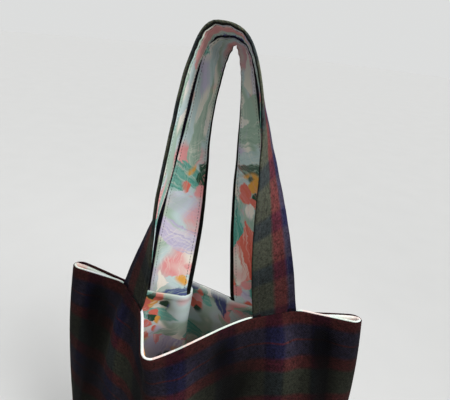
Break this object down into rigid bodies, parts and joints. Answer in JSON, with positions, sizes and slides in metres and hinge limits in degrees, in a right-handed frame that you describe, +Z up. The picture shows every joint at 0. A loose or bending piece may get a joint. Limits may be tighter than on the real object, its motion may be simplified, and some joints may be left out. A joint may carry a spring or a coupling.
{
  "type": "tote bag",
  "caption": "Lined cloth tote bag with a boxed bottom, a folded open rim and a pair of flat sewn-in handles that swing.",
  "frame": {"origin": "middle of the bag's depth and width, on the surface that its bottom stands on", "axes": "+Z up, +X to the right seen from the front, -Y to the front, where the rim's large fold is"},
  "size_m": [0.3158, 0.143, 0.6286],
  "materials": {
    "tartan_wool": "dark woollen tartan twill",
    "lining_print": "printed cotton lining, pale floral",
    "seam_thread": "dark sewing thread"
  },
  "bodies": {
    "bag": {"outer_front_panel": "tartan_wool", "lining_front_panel": "lining_print", "outer_back_panel": "tartan_wool", "lining_back_panel": "lining_print", "front_left_handle_end": "tartan_wool", "front_right_handle_end": "tartan_wool", "back_left_handle_end": "tartan_wool", "back_right_handle_end": "tartan_wool", "front_rim_seam_left": "seam_thread", "front_rim_seam_middle": "seam_thread", "front_rim_seam_right": "seam_thread", "back_rim_seam_left": "seam_thread", "back_rim_seam_middle": "seam_thread", "back_rim_seam_right": "seam_thread", "left_side_seam": "seam_thread", "left_corner_seam": "seam_thread", "right_side_seam": "seam_thread", "right_corner_seam": "seam_thread", "bottom_seam": "seam_thread"},
    "front_handle": {"front_handle_outer_strip": "tartan_wool", "front_handle_lining_strip": "lining_print", "front_handle_outer_edge_stitching": "seam_thread", "front_handle_inner_edge_stitching": "seam_thread"},
    "back_handle": {"back_handle_outer_strip": "tartan_wool", "back_handle_lining_strip": "lining_print", "back_handle_outer_edge_stitching": "seam_thread", "back_handle_inner_edge_stitching": "seam_thread"}
  },
  "joints": [
    {"name": "front_handle_swing", "type": "hinge", "parent": "bag", "child": "front_handle", "pos_m": [0, -0.013, 0.405], "axis": [1, 0, 0], "range_deg": [0, 95], "deforming": ["front_left_handle_end", "front_right_handle_end"]},
    {"name": "back_handle_swing", "type": "hinge", "parent": "bag", "child": "back_handle", "pos_m": [0, 0.016, 0.4], "axis": [-1, 0, 0], "range_deg": [0, 110], "deforming": ["back_left_handle_end", "back_right_handle_end"]}
  ]
}
